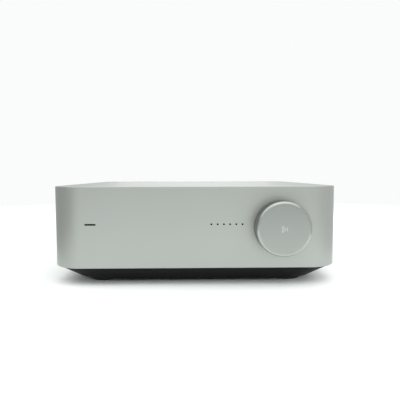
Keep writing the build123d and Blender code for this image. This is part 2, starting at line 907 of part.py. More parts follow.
# Phono sockets: black blocks on the main board, plated barrels and coloured insulators
phono_points = [(x, phono_z) for x in phono_places]
phono_seat = panel_inside - phono_block_depth / 2
phono_front = rear_inside + phono_barrel_reach
with BuildPart() as phono_blocks:
    add_blocks(
        upright(panel_inside), [(x, main_board_top + phono_block_height / 2) for x in phono_places],
        phono_block_width, phono_block_height, phono_block_depth,
    )
    add_rods(
        upright(panel_inside), phono_points, phono_neck_radius + seat_gap / 2,
        panel_inside - phono_seat, Mode.SUBTRACT,
    )
write_piece(phono_blocks, "phono_blocks")

with BuildPart() as phono_barrels:
    # The plug grips the front of the barrel, and a narrower neck goes through the ring and the block
    plug_length = phono_barrel_reach - phono_ring
    add_rods(upright(phono_front), phono_points, phono_barrel_radius, plug_length)
    add_rods(upright(phono_front), phono_points, phono_neck_radius, phono_front - phono_seat)
    add_rods(
        upright(phono_front), phono_points, phono_core_radius + seat_gap / 2, phono_front - phono_seat,
        Mode.SUBTRACT,
    )
write_piece(phono_barrels, "phono_barrels")

for x, colour in zip(phono_places, phono_colours):
    with BuildPart() as phono_insert:
        with BuildSketch(upright(rear_inside + phono_ring)):
            with Locations((x, phono_z)):
                Circle(phono_ring_radius)
                Circle(phono_neck_radius + seat_gap, mode=Mode.SUBTRACT)
        extrude(amount=phono_ring)
        core_face = phono_front - phono_core_setback
        with BuildSketch(upright(core_face)):
            with Locations((x, phono_z)):
                Circle(phono_core_radius)
        extrude(amount=core_face - phono_seat)
        with BuildSketch(upright(core_face)):
            with Locations((x, phono_z)):
                Circle(phono_bore_radius)
        extrude(amount=phono_bore_depth, mode=Mode.SUBTRACT)
    write_piece(phono_insert, f"phono_insert_{colour}")


# Mains inlet for a two-pin figure-of-eight plug
inlet_face = rear_inside + inlet_flange
inlet_back = rear_inside - inlet_depth
inlet_floor = inlet_face - inlet_port_depth
pin_points = [(inlet_x + sx * inlet_pin_pitch / 2, inlet_z) for sx in (-1, 1)]
with BuildPart() as mains_inlet:
    add_blocks(upright(rear_inside), [(inlet_x, inlet_z)], inlet_width, inlet_height, inlet_depth)
    add_blocks(
        upright(inlet_face), [(inlet_x, inlet_z)], inlet_width + 2 * inlet_flange_margin,
        inlet_height + 2 * inlet_flange_margin, inlet_flange, inlet_flange_margin,
    )
    with BuildSketch(upright(inlet_face)):
        with Locations(*pin_points):
            Circle(inlet_lobe_radius)
        with Locations((inlet_x, inlet_z)):
            Rectangle(inlet_pin_pitch, inlet_waist)
    extrude(amount=inlet_port_depth, mode=Mode.SUBTRACT)
    add_rods(
        upright(inlet_floor), pin_points, inlet_pin_radius + shaft_running_gap, inlet_floor - inlet_back,
        Mode.SUBTRACT,
    )
write_piece(mains_inlet, "mains_inlet")

pin_front = inlet_face - inlet_pin_setback
pin_back = inlet_back - inlet_tail
with BuildPart() as mains_pins:
    add_rods(upright(pin_front), pin_points, inlet_pin_radius, pin_front - pin_back)
    # A collar behind each pin seats on the back of the inlet
    add_pegs(upright(inlet_back), pin_points, inlet_collar_radius, inlet_collar)
write_piece(mains_pins, "mains_pins")


# Digital sockets on the main board
with BuildPart() as usb_shell:
    add_blocks(upright(socket_face), [(usb_x, usb_z)], usb_width, usb_height, usb_depth)
    add_blocks(
        upright(socket_face), [(usb_x, usb_z)], usb_width - 2 * usb_wall, usb_height - 2 * usb_wall,
        usb_depth, mode=Mode.SUBTRACT,
    )
write_piece(usb_shell, "usb_shell")


def hdmi_face(y, wall):
    # A flat rectangle whose two lower corners are cut off
    half = hdmi_width / 2 - wall
    top = hdmi_z + hdmi_height / 2 - wall
    low = hdmi_z - hdmi_height / 2 + wall
    with BuildSketch(upright(y)) as face:
        with BuildLine():
            Polyline(
                (hdmi_x + half, top),
                (hdmi_x + half, low + hdmi_corner),
                (hdmi_x + half - hdmi_corner, low),
                (hdmi_x - half + hdmi_corner, low),
                (hdmi_x - half, low + hdmi_corner),
                (hdmi_x - half, top),
                close=True,
            )
        make_face()
    return face.sketch


with BuildPart() as hdmi_shell:
    extrude(hdmi_face(socket_face, 0), amount=hdmi_depth)
    extrude(hdmi_face(socket_face, hdmi_wall), amount=hdmi_depth, mode=Mode.SUBTRACT)
write_piece(hdmi_shell, "hdmi_shell")

with BuildPart() as socket_tongues:
    hdmi_back = socket_face - hdmi_depth
    extrude(hdmi_face(hdmi_back + tongue_block, hdmi_wall + shaft_running_gap), amount=tongue_block)
    add_blocks(
        upright(socket_face - tongue_setback), [(hdmi_x, hdmi_z)], hdmi_tongue_width,
        hdmi_tongue_thickness, hdmi_depth - tongue_setback - tongue_block,
    )
    usb_back = socket_face - usb_depth
    usb_inner_height = usb_height - 2 * usb_wall - 2 * shaft_running_gap
    add_blocks(
        upright(usb_back + tongue_block), [(usb_x, usb_z)], usb_width - 2 * usb_wall - 2 * shaft_running_gap,
        usb_inner_height, tongue_block,
    )
    add_blocks(
        upright(socket_face - tongue_setback),
        [(usb_x, usb_z + usb_inner_height / 2 - usb_tongue_gap - usb_tongue_thickness / 2)],
        usb_tongue_width, usb_tongue_thickness, usb_depth - tongue_setback - tongue_block,
    )
write_piece(socket_tongues, "socket_tongues")

port_z = main_board_top + network_port_rise + network_port_height / 2
port_back = socket_face - network_port_depth
with BuildPart() as network_socket:
    add_blocks(
        upright(socket_face), [(network_x, network_z)], network_width, network_height, network_depth
    )
    with BuildSketch(upright(socket_face)):
        with Locations((network_x, port_z)):
            Rectangle(network_port_width, network_port_height)
        with Locations((network_x, port_z - network_port_height / 2)):
            Rectangle(network_latch_width, 2 * network_latch_height)
    extrude(amount=network_port_depth, mode=Mode.SUBTRACT)
write_piece(network_socket, "network_socket")

with BuildPart() as network_contacts:
    contact_z = port_z + network_port_height / 2 - network_contact_drop
    with BuildSketch(upright(port_back + network_contact_length)):
        with Locations((network_x, contact_z)):
            with GridLocations(network_contact_pitch, 0, network_contact_count, 1):
                Rectangle(network_contact_size, network_contact_size)
    extrude(amount=network_contact_length)
write_piece(network_contacts, "network_contacts")

# Optical socket with a sprung shutter that swings in from its top edge
port_top = optical_z + optical_height / 2 - optical_wall
port_bottom = optical_z - optical_height / 2 + optical_wall
pivot_z = port_top - shutter_barrel_radius - shutter_gap
pivot_y = socket_face - shutter_setback - shutter_barrel_radius
shutter_width = optical_width - 2 * optical_wall - 2 * shutter_gap
with BuildPart() as optical_housing:
    add_blocks(upright(socket_face), [(optical_x, optical_z)], optical_width, optical_height, optical_depth)
    add_blocks(
        upright(socket_face), [(optical_x, optical_z)], optical_width - 2 * optical_wall,
        optical_height - 2 * optical_wall, optical_depth - optical_back, mode=Mode.SUBTRACT,
    )
    with BuildSketch(Plane.YZ.offset(optical_x - optical_width / 2)) as pivot_hole:
        with Locations((pivot_y, pivot_z)):
            Circle(shutter_pin_radius + shaft_running_gap)
    extrude(pivot_hole.sketch, amount=optical_width, mode=Mode.SUBTRACT)
write_piece(optical_housing, "optical_housing")

with BuildPart() as optical_shutter:
    with BuildSketch(Plane.YZ.offset(optical_x - shutter_width / 2)):
        with Locations((pivot_y, pivot_z)):
            Circle(shutter_barrel_radius)
        plate_height = pivot_z - port_bottom - shutter_gap
        with Locations((pivot_y, pivot_z - plate_height / 2)):
            Rectangle(shutter_thickness, plate_height)
    extrude(amount=shutter_width)
    pin_reach = shutter_width / 2 + shutter_pin_length
    with BuildSketch(Plane.YZ.offset(optical_x - pin_reach)):
        with Locations((pivot_y, pivot_z)):
            Circle(shutter_pin_radius)
    extrude(amount=2 * pin_reach)
write_piece(optical_shutter, "optical_shutter")


# Boards
with BuildPart() as main_board:
    add_blocks(
        level(main_board_bottom),
        [((main_board_left + main_board_right) / 2, (main_board_front + main_board_back) / 2)],
        main_board_right - main_board_left, main_board_depth, board_thickness,
    )
    add_pegs(level(main_board_bottom), main_standoffs, small_hole_radius, board_thickness, Mode.SUBTRACT)
write_piece(main_board, "main_board")

with BuildPart() as power_board:
    add_blocks(
        level(power_board_bottom),
        [((power_board_left + power_board_right) / 2, (power_board_front + power_board_back) / 2)],
        power_board_right - power_board_left, power_board_back - power_board_front, board_thickness,
    )
    add_pegs(level(power_board_bottom), power_standoffs, small_hole_radius, board_thickness, Mode.SUBTRACT)
write_piece(power_board, "power_board")

with BuildPart() as board_screws:
    for height, places in ((main_board_top, main_standoffs), (power_board_top, power_standoffs)):
        add_pegs(level(height), places, small_screw_head_radius, small_screw_head_height)
        add_pegs(level(height), places, small_shank_radius, -small_screw_length)
    add_pegs(upright(front_board_back), front_bosses, small_screw_head_radius, -small_screw_head_height)
    add_pegs(upright(front_board_back), front_bosses, small_shank_radius, small_screw_length)
write_piece(board_screws, "board_screws")


# Parts on the boards, whose places are measured from each board's rear left corner
def on_main(x, y):
    return (main_board_left + x, main_board_back - y)


def on_power(x, y):
    return (power_board_left + x, power_board_back - y)


sink_x, sink_y = on_main(sink_place[0], sink_place[1])
pad_bottom = main_board_top + amplifier_chip_height
sink_bottom = pad_bottom + pad_thickness
with BuildPart() as semiconductors:
    add_blocks(
        level(main_board_top), [(sink_x, sink_y)], amplifier_chip_width, amplifier_chip_width,
        amplifier_chip_height,
    )
    for place, width, height in logic_chips:
        add_blocks(level(main_board_top), [on_main(*place)], width, width, height)
    add_blocks(
        level(power_board_top), [on_power(*bridge_place)], bridge_width, bridge_depth, bridge_height
    )
    transistor_x, plate_y = on_power(*plate_place)
    add_blocks(
        level(power_board_top),
        [(transistor_x, plate_y - plate_thickness / 2 - transistor_depth / 2)],
        transistor_width, transistor_depth, transistor_height,
    )
write_piece(semiconductors, "semiconductors")

with BuildPart() as thermal_pad:
    add_blocks(level(pad_bottom), [(sink_x, sink_y)], pad_width, pad_width, pad_thickness)
write_piece(thermal_pad, "thermal_pad")

with BuildPart() as heat_sinks:
    add_blocks(level(sink_bottom), [(sink_x, sink_y)], sink_width, sink_depth, sink_base)
    with BuildSketch(level(sink_bottom + sink_base)):
        with Locations((sink_x, sink_y)):
            with GridLocations((sink_width - fin_thickness) / (fin_count - 1), 0, fin_count, 1):
                Rectangle(fin_thickness, sink_depth)
    extrude(amount=fin_height)
    leg_x = sink_width / 2 - sink_leg_inset
    leg_y = sink_depth / 2 - sink_leg_inset
    add_pegs(
        level(main_board_top),
        [(sink_x + sx * leg_x, sink_y + sy * leg_y) for sx in (-1, 1) for sy in (-1, 1)],
        sink_leg_radius,
        sink_bottom - main_board_top + sink_base / 2,
    )
    add_blocks(
        level(power_board_top), [(transistor_x, plate_y)], plate_width, plate_thickness, plate_height
    )
write_piece(heat_sinks, "heat_sinks")

coil_places = [on_main(coil_first_x + i * coil_pitch, coil_y) for i in range(post_count)]
with BuildPart() as output_inductors:
    add_blocks(level(main_board_top), coil_places, coil_width, coil_width, coil_height)
write_piece(output_inductors, "output_inductors")

with BuildPart() as film_capacitors:
    add_blocks(
        level(main_board_top),
        [on_main(coil_first_x + i * coil_pitch, film_y) for i in range(post_count)],
        film_width, film_depth, film_height,
    )
    add_blocks(level(power_board_top), [on_power(*safety_place)], safety_width, safety_depth, safety_height)
write_piece(film_capacitors, "film_capacitors")

with BuildPart() as electrolytic_capacitors:
    add_rods(level(main_board_top), [on_main(*p) for p in can_places], can_radius, can_height)
    add_rods(
        level(power_board_top), [on_power(*reservoir_place)], reservoir_radius, reservoir_height
    )
    add_rods(
        level(power_board_top), [on_power(*p) for p in small_can_places], small_can_radius, small_can_height
    )
write_piece(electrolytic_capacitors, "electrolytic_capacitors")

transformer_x, transformer_y = on_power(*transformer_place)
choke_x, choke_y = on_power(*choke_place)
core_window = (core_width - 4 * core_leg) / 2
core_window_height = core_height - 2 * core_leg
core_middle = power_board_top + core_height / 2
choke_middle = power_board_top + choke_height / 2
choke_window = choke_width - 2 * choke_leg
choke_window_height = choke_height - 2 * choke_leg
with BuildPart() as ferrite_cores:
    # The transformer's core has a middle leg twice as wide as its outer legs
    with BuildSketch(upright(transformer_y + core_depth / 2)):
        with Locations((transformer_x, core_middle)):
            Rectangle(core_width, core_height)
        with Locations(
            (transformer_x - core_leg - core_window / 2, core_middle),
            (transformer_x + core_leg + core_window / 2, core_middle),
        ):
            Rectangle(core_window, core_window_height, mode=Mode.SUBTRACT)
    extrude(amount=core_depth)
    with BuildSketch(upright(choke_y + choke_depth / 2)):
        with Locations((choke_x, choke_middle)):
            Rectangle(choke_width, choke_height)
            Rectangle(choke_window, choke_window_height, mode=Mode.SUBTRACT)
    extrude(amount=choke_depth)
write_piece(ferrite_cores, "ferrite_cores")

with BuildPart() as windings:
    winding_x = 2 * (core_leg + core_window) - 2 * winding_gap
    winding_y = core_depth + 2 * core_window
    with BuildSketch(level(core_middle - core_window_height / 2 + winding_gap)):
        with Locations((transformer_x, transformer_y)):
            RectangleRounded(winding_x, winding_y, winding_round)
            Rectangle(2 * core_leg + 2 * winding_gap, core_depth + 2 * winding_gap, mode=Mode.SUBTRACT)
    extrude(amount=core_window_height - 2 * winding_gap)
    # Two windings on the choke's upright legs
    coil_thick = (choke_window - winding_split) / 2 - winding_gap
    with BuildSketch(level(choke_middle - choke_window_height / 2 + winding_gap)):
        for side in (-1, 1):
            with Locations((choke_x + side * (choke_width - choke_leg) / 2, choke_y)):
                RectangleRounded(
                    choke_leg + 2 * coil_thick + 2 * winding_gap,
                    choke_depth + 2 * coil_thick + 2 * winding_gap, winding_round,
                )
                Rectangle(choke_leg + 2 * winding_gap, choke_depth + 2 * winding_gap, mode=Mode.SUBTRACT)
    extrude(amount=choke_window_height - 2 * winding_gap)
write_piece(windings, "windings")

with BuildPart() as mains_fuse:
    add_rods(level(power_board_top), [on_power(*fuse_place)], fuse_radius, fuse_height)
write_piece(mains_fuse, "mains_fuse")

with BuildPart() as radio_shield:
    radio_place = (main_board_right - radio_from_right, main_board_front + radio_from_front)
    add_blocks(level(main_board_top), [radio_place], radio_width, radio_depth, radio_height)
write_piece(radio_shield, "radio_shield")

with BuildPart() as antenna_strip:
    antenna_place = ((main_board_left + main_board_right) / 2, front_face + antenna_inset)
    add_blocks(level(floor_top), [antenna_place], antenna_width, antenna_depth, antenna_thickness)
write_piece(antenna_strip, "antenna_strip")


# Ribbon between the front board and the main board, with a connector at each end
ribbon_x = main_board_left + ribbon_from_left
ribbon_high = knob_z - ribbon_drop
ribbon_low = main_board_top + connector_height / 2
ribbon_start = front_board_back + connector_depth
ribbon_end = main_board_front + connector_inset
connector_width = ribbon_width + 2 * connector_overhang
with BuildPart() as ribbon_connectors:
    add_blocks(
        upright(ribbon_start), [(ribbon_x, ribbon_high)], connector_width, connector_height, connector_depth
    )
    add_blocks(
        level(main_board_top), [(ribbon_x, ribbon_end + connector_depth / 2)], connector_width,
        connector_depth, connector_height,
    )
write_piece(ribbon_connectors, "ribbon_connectors")

with BuildPart() as ribbon_cable:
    add_run(
        [
            (ribbon_x, ribbon_start, ribbon_high),
            (ribbon_x, ribbon_start + ribbon_level_run, ribbon_high),
            (ribbon_x, ribbon_end - ribbon_level_run, ribbon_low),
            (ribbon_x, ribbon_end, ribbon_low),
        ],
        ribbon_bend, ribbon_width, ribbon_thickness,
    )
write_piece(ribbon_cable, "ribbon_cable")

with BuildPart() as power_leads:
    # Two leads from the inlet down to the power board, two from there to the main board
    for x, z in pin_points:
        add_run(
            [
                (x, pin_back, z),
                (x, power_board_back - lead_landing, z),
                (x, power_board_back - lead_landing, power_board_top),
            ],
            lead_bend, lead_radius,
        )
    start_x, start_y = on_power(*supply_start)
    end_x, end_y = on_main(*supply_end)
    for i in range(2):
        shift = i * supply_pitch
        add_run(
            [
                (start_x - shift, start_y, power_board_top),
                (start_x - shift, start_y, supply_height),
                (end_x - shift, end_y, supply_height),
                (end_x - shift, end_y, main_board_top),
            ],
            lead_bend, lead_radius,
        )
write_piece(power_leads, "power_leads")
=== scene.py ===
import bpy, math
import numpy as np
from mathutils import Matrix, Vector


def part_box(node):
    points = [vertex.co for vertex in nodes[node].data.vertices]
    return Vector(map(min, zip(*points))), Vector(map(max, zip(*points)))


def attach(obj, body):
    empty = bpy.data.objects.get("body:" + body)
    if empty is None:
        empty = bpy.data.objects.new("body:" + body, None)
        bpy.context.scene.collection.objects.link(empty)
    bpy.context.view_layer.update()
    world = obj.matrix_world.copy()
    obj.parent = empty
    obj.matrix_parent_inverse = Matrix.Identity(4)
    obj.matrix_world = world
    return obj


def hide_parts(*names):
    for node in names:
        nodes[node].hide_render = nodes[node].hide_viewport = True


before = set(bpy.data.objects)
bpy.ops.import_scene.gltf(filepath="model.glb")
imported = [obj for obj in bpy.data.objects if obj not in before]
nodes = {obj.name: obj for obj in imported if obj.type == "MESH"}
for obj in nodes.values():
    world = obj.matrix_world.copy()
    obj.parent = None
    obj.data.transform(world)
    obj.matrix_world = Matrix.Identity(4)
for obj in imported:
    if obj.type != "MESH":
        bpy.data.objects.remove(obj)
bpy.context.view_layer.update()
print("frame loaded:", len(nodes), "nodes")

mm = 0.001

# Camera, fitted to the outline of the case: its place, the way it looks and its small roll
cameraView = {
    "place": (-1.42 * mm, -349.37 * mm, 71.81 * mm),
    "forward": (0.01674, 0.99779, -0.06438),
    "roll": -0.0022,  # radians
    "focal": 398.45,  # in pixels of the 400 pixel frame
    "framePixels": 400,
    "sensor": 36.0,  # millimetres
    "clip": (0.01, 50.0),
}


def placeCamera(c):
    data = bpy.data.cameras.new("photoCamera")
    data.sensor_width = c["sensor"]
    data.lens = c["focal"] / c["framePixels"] * c["sensor"]
    data.clip_start, data.clip_end = c["clip"]
    camera = bpy.data.objects.new("photoCamera", data)
    bpy.context.scene.collection.objects.link(camera)
    ahead = Vector(c["forward"]).normalized()
    right = ahead.cross(Vector((0, 0, 1))).normalized()
    up = right.cross(ahead)
    turnedRight = right * math.cos(c["roll"]) + up * math.sin(c["roll"])
    turnedUp = up * math.cos(c["roll"]) - right * math.sin(c["roll"])
    axes = Matrix((turnedRight, turnedUp, -ahead)).transposed()
    camera.matrix_world = Matrix.Translation(c["place"]) @ axes.to_4x4()
    bpy.context.scene.camera = camera


placeCamera(cameraView)
bpy.context.scene.view_settings.view_transform = "Standard"
print("camera placed")


# Helpers for node materials: each adds its nodes to the tree and gives back the output to go on with

def newMaterial(name):
    material = bpy.data.materials.new(name)
    material.use_nodes = True
    tree = material.node_tree
    shader = tree.nodes["Principled BSDF"]
    place = tree.nodes.new("ShaderNodeTexCoord")
    return material, tree, shader, place.outputs["Object"]


# A socket takes a value, or the output of another node
def feedSocket(tree, socket, value):
    if isinstance(value, bpy.types.NodeSocket):
        tree.links.new(value, socket)
    else:
        socket.default_value = value


def addNoise(tree, place, scale, detail=2.0, roughness=0.5):
    noise = tree.nodes.new("ShaderNodeTexNoise")
    noise.inputs["Scale"].default_value = scale
    noise.inputs["Detail"].default_value = detail
    noise.inputs["Roughness"].default_value = roughness
    tree.links.new(place, noise.inputs["Vector"])
    return noise.outputs["Fac"]


# Fine lines round an axis along Y: a noise drawn out along X and Z
def addTurnedLines(tree, place, scale):
    mapping = tree.nodes.new("ShaderNodeMapping")
    mapping.inputs["Scale"].default_value = (0.02, 1.0, 0.02)
    tree.links.new(place, mapping.inputs["Vector"])
    return addNoise(tree, mapping.outputs["Vector"], scale)


# A noise stays mostly within the middle of its range, so the blends run from 0.3 to 0.7 of it
def blendColours(tree, factor, low, high, start=0.3, end=0.7):
    ramp = tree.nodes.new("ShaderNodeValToRGB")
    for element, position, colour in zip(ramp.color_ramp.elements, (start, end), (low, high)):
        element.position = position
        element.color = (*colour, 1)
    tree.links.new(factor, ramp.inputs["Fac"])
    return ramp.outputs["Color"]


def blendNumbers(tree, factor, low, high, start=0.3, end=0.7):
    spread = tree.nodes.new("ShaderNodeMapRange")
    spread.inputs["From Min"].default_value = start
    spread.inputs["From Max"].default_value = end
    spread.inputs["To Min"].default_value = low
    spread.inputs["To Max"].default_value = high
    tree.links.new(factor, spread.inputs["Value"])
    return spread.outputs["Result"]


# 0 up to the start, 1 from the end on, and even in between
def riseOver(tree, value, start, end):
    return blendNumbers(tree, value, 0.0, 1.0, start, end)


def mathStep(tree, operation, first, second):
    step = tree.nodes.new("ShaderNodeMath")
    step.operation = operation
    for socket, value in zip(step.inputs, (first, second)):
        feedSocket(tree, socket, value)
    return step.outputs["Value"]


def vectorStep(tree, operation, vector, amount=None):
    step = tree.nodes.new("ShaderNodeVectorMath")
    step.operation = operation
    tree.links.new(vector, step.inputs[0])
    if amount:
        step.inputs[1].default_value = amount
    return step.outputs["Value" if operation == "LENGTH" else "Vector"]


def splitVector(tree, vector):
    split = tree.nodes.new("ShaderNodeSeparateXYZ")
    tree.links.new(vector, split.inputs["Vector"])
    return split.outputs


# The kind is FLOAT for numbers and RGBA for colours
def mixValues(tree, kind, factor, first, second):
    mix = tree.nodes.new("ShaderNodeMix")
    mix.data_type = kind
    tree.links.new(factor, mix.inputs["Factor"])
    feedSocket(tree, mix.inputs["A"], first)
    feedSocket(tree, mix.inputs["B"], second)
    return mix.outputs["Result"]


def mixShaders(tree, factor, first, second, output):
    mix = tree.nodes.new("ShaderNodeMixShader")
    for socket, source in zip(mix.inputs, (factor, first, second)):
        tree.links.new(source, socket)
    tree.links.new(mix.outputs["Shader"], output.inputs["Surface"])


def addBump(tree, shader, height, strength, distance):
    bump = tree.nodes.new("ShaderNodeBump")
    bump.inputs["Strength"].default_value = strength
    bump.inputs["Distance"].default_value = distance
    tree.links.new(height, bump.inputs["Height"])
    before = shader.inputs["Normal"]
    if before.is_linked:
        tree.links.new(before.links[0].from_socket, bump.inputs["Normal"])
    tree.links.new(bump.outputs["Normal"], before)


def scaleColour(colour, factor):
    return tuple(channel * factor for channel in colour)


# The base colour follows one noise, between two tints of it, and the roughness the other, between two values
def varySurface(tree, shader, colour, tintNoise, grainNoise, tints, roughness):
    low, high = (scaleColour(colour, tint) for tint in tints)
    tree.links.new(blendColours(tree, tintNoise, low, high), shader.inputs["Base Color"])
    tree.links.new(blendNumbers(tree, grainNoise, *roughness), shader.inputs["Roughness"])


# Bead-blasted, anodised aluminium: fine even grain and a faint cloudiness
def blastedMetal(name, colour, roughness, metallic):
    material, tree, shader, place = newMaterial(name)
    cloud = addNoise(tree, place, scale=14.0, detail=3.0)
    grain = addNoise(tree, place, scale=4200.0, roughness=0.6)
    varySurface(tree, shader, colour, cloud, grain, tints=(0.985, 1.015),
                roughness=(roughness - 0.04, roughness + 0.04))
    shader.inputs["Metallic"].default_value = metallic
    addBump(tree, shader, grain, strength=0.12, distance=0.00004)
    return material


# The knob's blasted face ends in a cut rim, smoother and with its colour lightened as a painted highlight,
# and a turned wall, finely grooved and with its colour darkened as painted shade: each zone takes over along
# Y, from its start to its end
def knobFinishAndPaintedLight(name, colour, roughness, metallic, rim, wall):
    material = blastedMetal(name, colour, roughness, metallic)
    tree = material.node_tree
    shader = tree.nodes["Principled BSDF"]
    place = tree.nodes["Texture Coordinate"].outputs["Object"]
    depth = splitVector(tree, place)["Y"]
    for zone in (rim, wall):
        inside = riseOver(tree, depth, zone["start"], zone["end"])
        # the rim's colour is lifted as a painted highlight, the wall's lowered as painted shade
        paintedHighlightAndShade = (*scaleColour(colour, zone["tone"]), 1)
        changes = (("Base Color", "RGBA", paintedHighlightAndShade), ("Roughness", "FLOAT", zone["roughness"]))
        for quality, kind, value in changes:
            socket = shader.inputs[quality]
            mixed = mixValues(tree, kind, inside, socket.links[0].from_socket, value)
            tree.links.new(mixed, socket)
    lines = addTurnedLines(tree, place, scale=2500.0)
    grooves = mathStep(tree, "MULTIPLY", lines, inside)  # inside the last zone only, the wall
    addBump(tree, shader, grooves, strength=0.3, distance=0.00006)
    return material


# Moulded plastic with a fine spark-eroded texture. The grain is its scale and the strength of its relief
def mouldedPlastic(name, colour, roughness, grain=(2600.0, 0.25), specular=0.5):
    material, tree, shader, place = newMaterial(name)
    cloud = addNoise(tree, place, scale=40.0)
    pits = addNoise(tree, place, scale=grain[0], detail=3.0, roughness=0.6)
    varySurface(tree, shader, colour, cloud, pits, tints=(0.92, 1.08),
                roughness=(roughness - 0.06, roughness + 0.06))
    shader.inputs["Specular IOR Level"].default_value = specular
    addBump(tree, shader, pits, strength=grain[1], distance=0.00005)
    return material


# Plated or turned metal with fine lines round its axis along Y
def turnedMetal(name, colour, roughness, lineScale=900.0):
    material, tree, shader, place = newMaterial(name)
    lines = addTurnedLines(tree, place, lineScale)
    spots = addNoise(tree, place, scale=120.0)
    varySurface(tree, shader, colour, spots, lines, tints=(0.94, 1.0),
                roughness=(roughness - 0.04, roughness + 0.06))
    shader.inputs["Metallic"].default_value = 1.0
    addBump(tree, shader, lines, strength=0.1, distance=0.00004)
    return material


# Dark clear plastic with a little haze
def tintedLens(name, colour, roughness, specular):
    material, tree, shader, place = newMaterial(name)
    haze = addNoise(tree, place, scale=700.0)
    varySurface(tree, shader, colour, haze, haze, tints=(0.8, 1.3), roughness=roughness)
    shader.inputs["Specular IOR Level"].default_value = specular
    return material


# How each finish is made, and with which values
finishes = {
    "caseMetal": (blastedMetal, {"colour": (0.417, 0.439, 0.413), "roughness": 0.42, "metallic": 0.9}),
    "knobMetal": (knobFinishAndPaintedLight, {
        "colour": (0.345, 0.367, 0.345), "roughness": 0.32, "metallic": 1.0,
        # rim: its tone of 1.18 lightens the cut edge as a painted highlight
        "rim": {"start": -0.10649, "end": -0.10645, "tone": 1.18, "roughness": 0.25},
        # wall: its tone of 0.42 darkens the knob's side as painted shade in the gap at its foot
        "wall": {"start": -0.1049, "end": -0.1045, "tone": 0.42, "roughness": 0.32},
    }),
    "baseBlack": (mouldedPlastic, {"colour": (0.0035, 0.0045, 0.004), "roughness": 0.55, "specular": 0.19}),
    "panelBlack": (mouldedPlastic, {
        "colour": (0.018, 0.019, 0.019), "roughness": 0.5, "grain": (1800.0, 0.4), "specular": 0.3,
    }),
    "rubberBlack": (mouldedPlastic, {
        "colour": (0.016, 0.016, 0.016), "roughness": 0.8, "grain": (900.0, 0.3),
    }),
    "innerBlack": (mouldedPlastic, {"colour": (0.01, 0.01, 0.011), "roughness": 0.45}),
    "screwBlack": (turnedMetal, {"colour": (0.05, 0.05, 0.05), "roughness": 0.42}),
    "capRed": (mouldedPlastic, {"colour": (0.42, 0.012, 0.012), "roughness": 0.2, "grain": (300.0, 0.06)}),
    "capBlack": (mouldedPlastic, {
        "colour": (0.012, 0.012, 0.012), "roughness": 0.22, "grain": (300.0, 0.06),
    }),
    "phonoWhite": (mouldedPlastic, {"colour": (0.76, 0.76, 0.73), "roughness": 0.35, "grain": (900.0, 0.1)}),
    "phonoRed": (mouldedPlastic, {"colour": (0.5, 0.014, 0.014), "roughness": 0.35, "grain": (900.0, 0.1)}),
    "phonoBlack": (mouldedPlastic, {
        "colour": (0.012, 0.012, 0.012), "roughness": 0.35, "grain": (900.0, 0.1),
    }),
    "goldPlate": (turnedMetal, {"colour": (0.86, 0.62, 0.26), "roughness": 0.2}),
    "nickelPlate": (turnedMetal, {"colour": (0.62, 0.6, 0.56), "roughness": 0.22}),
    "socketSteel": (turnedMetal, {"colour": (0.55, 0.55, 0.54), "roughness": 0.28, "lineScale": 500.0}),
    "boardGreen": (mouldedPlastic, {
        "colour": (0.012, 0.07, 0.035), "roughness": 0.35, "grain": (500.0, 0.2),
    }),
    "copperWire": (turnedMetal, {"colour": (0.6, 0.25, 0.11), "roughness": 0.35, "lineScale": 1500.0}),
    "ivoryPlastic": (mouldedPlastic, {"colour": (0.62, 0.58, 0.48), "roughness": 0.5}),
    "sinkBlack": (blastedMetal, {"colour": (0.03, 0.03, 0.032), "roughness": 0.5, "metallic": 1.0}),
    "ferriteGrey": (mouldedPlastic, {
        "colour": (0.035, 0.035, 0.038), "roughness": 0.6, "grain": (1200.0, 0.5),
    }),
    "filmYellow": (mouldedPlastic, {"colour": (0.6, 0.4, 0.05), "roughness": 0.3, "grain": (600.0, 0.1)}),
    "ledWhite": (mouldedPlastic, {"colour": (0.8, 0.78, 0.62), "roughness": 0.3, "grain": (600.0, 0.1)}),
    "ribbonWhite": (mouldedPlastic, {"colour": (0.68, 0.68, 0.66), "roughness": 0.5, "grain": (600.0, 0.2)}),
    "padGrey": (mouldedPlastic, {"colour": (0.3, 0.33, 0.36), "roughness": 0.7, "grain": (600.0, 0.2)}),
    "lensDark": (tintedLens, {"colour": (0.004, 0.0045, 0.007), "roughness": (0.18, 0.3), "specular": 0.25}),
}
finish = {name: make(name, **look) for name, (make, look) in finishes.items()}

# Moulded rings under each foot: the distance from the nearest foot's axis, in even steps
footRings = {"x": 0.063, "y": 0.071, "perMetre": 420.0, "strength": 0.6, "depth": 0.0003}


def addFootRings(material, c):
    tree = material.node_tree
    step = 1 / c["perMetre"]
    folded = vectorStep(tree, "ABSOLUTE", tree.nodes["Texture Coordinate"].outputs["Object"])
    fromFoot = vectorStep(tree, "SUBTRACT", folded, (c["x"], c["y"], 0.0))
    flat = vectorStep(tree, "MULTIPLY", fromFoot, (1, 1, 0))
    wave = mathStep(tree, "PINGPONG", vectorStep(tree, "LENGTH", flat), step)
    addBump(tree, tree.nodes["Principled BSDF"], riseOver(tree, wave, 0.0, step), c["strength"], c["depth"])


addFootRings(finish["rubberBlack"], footRings)

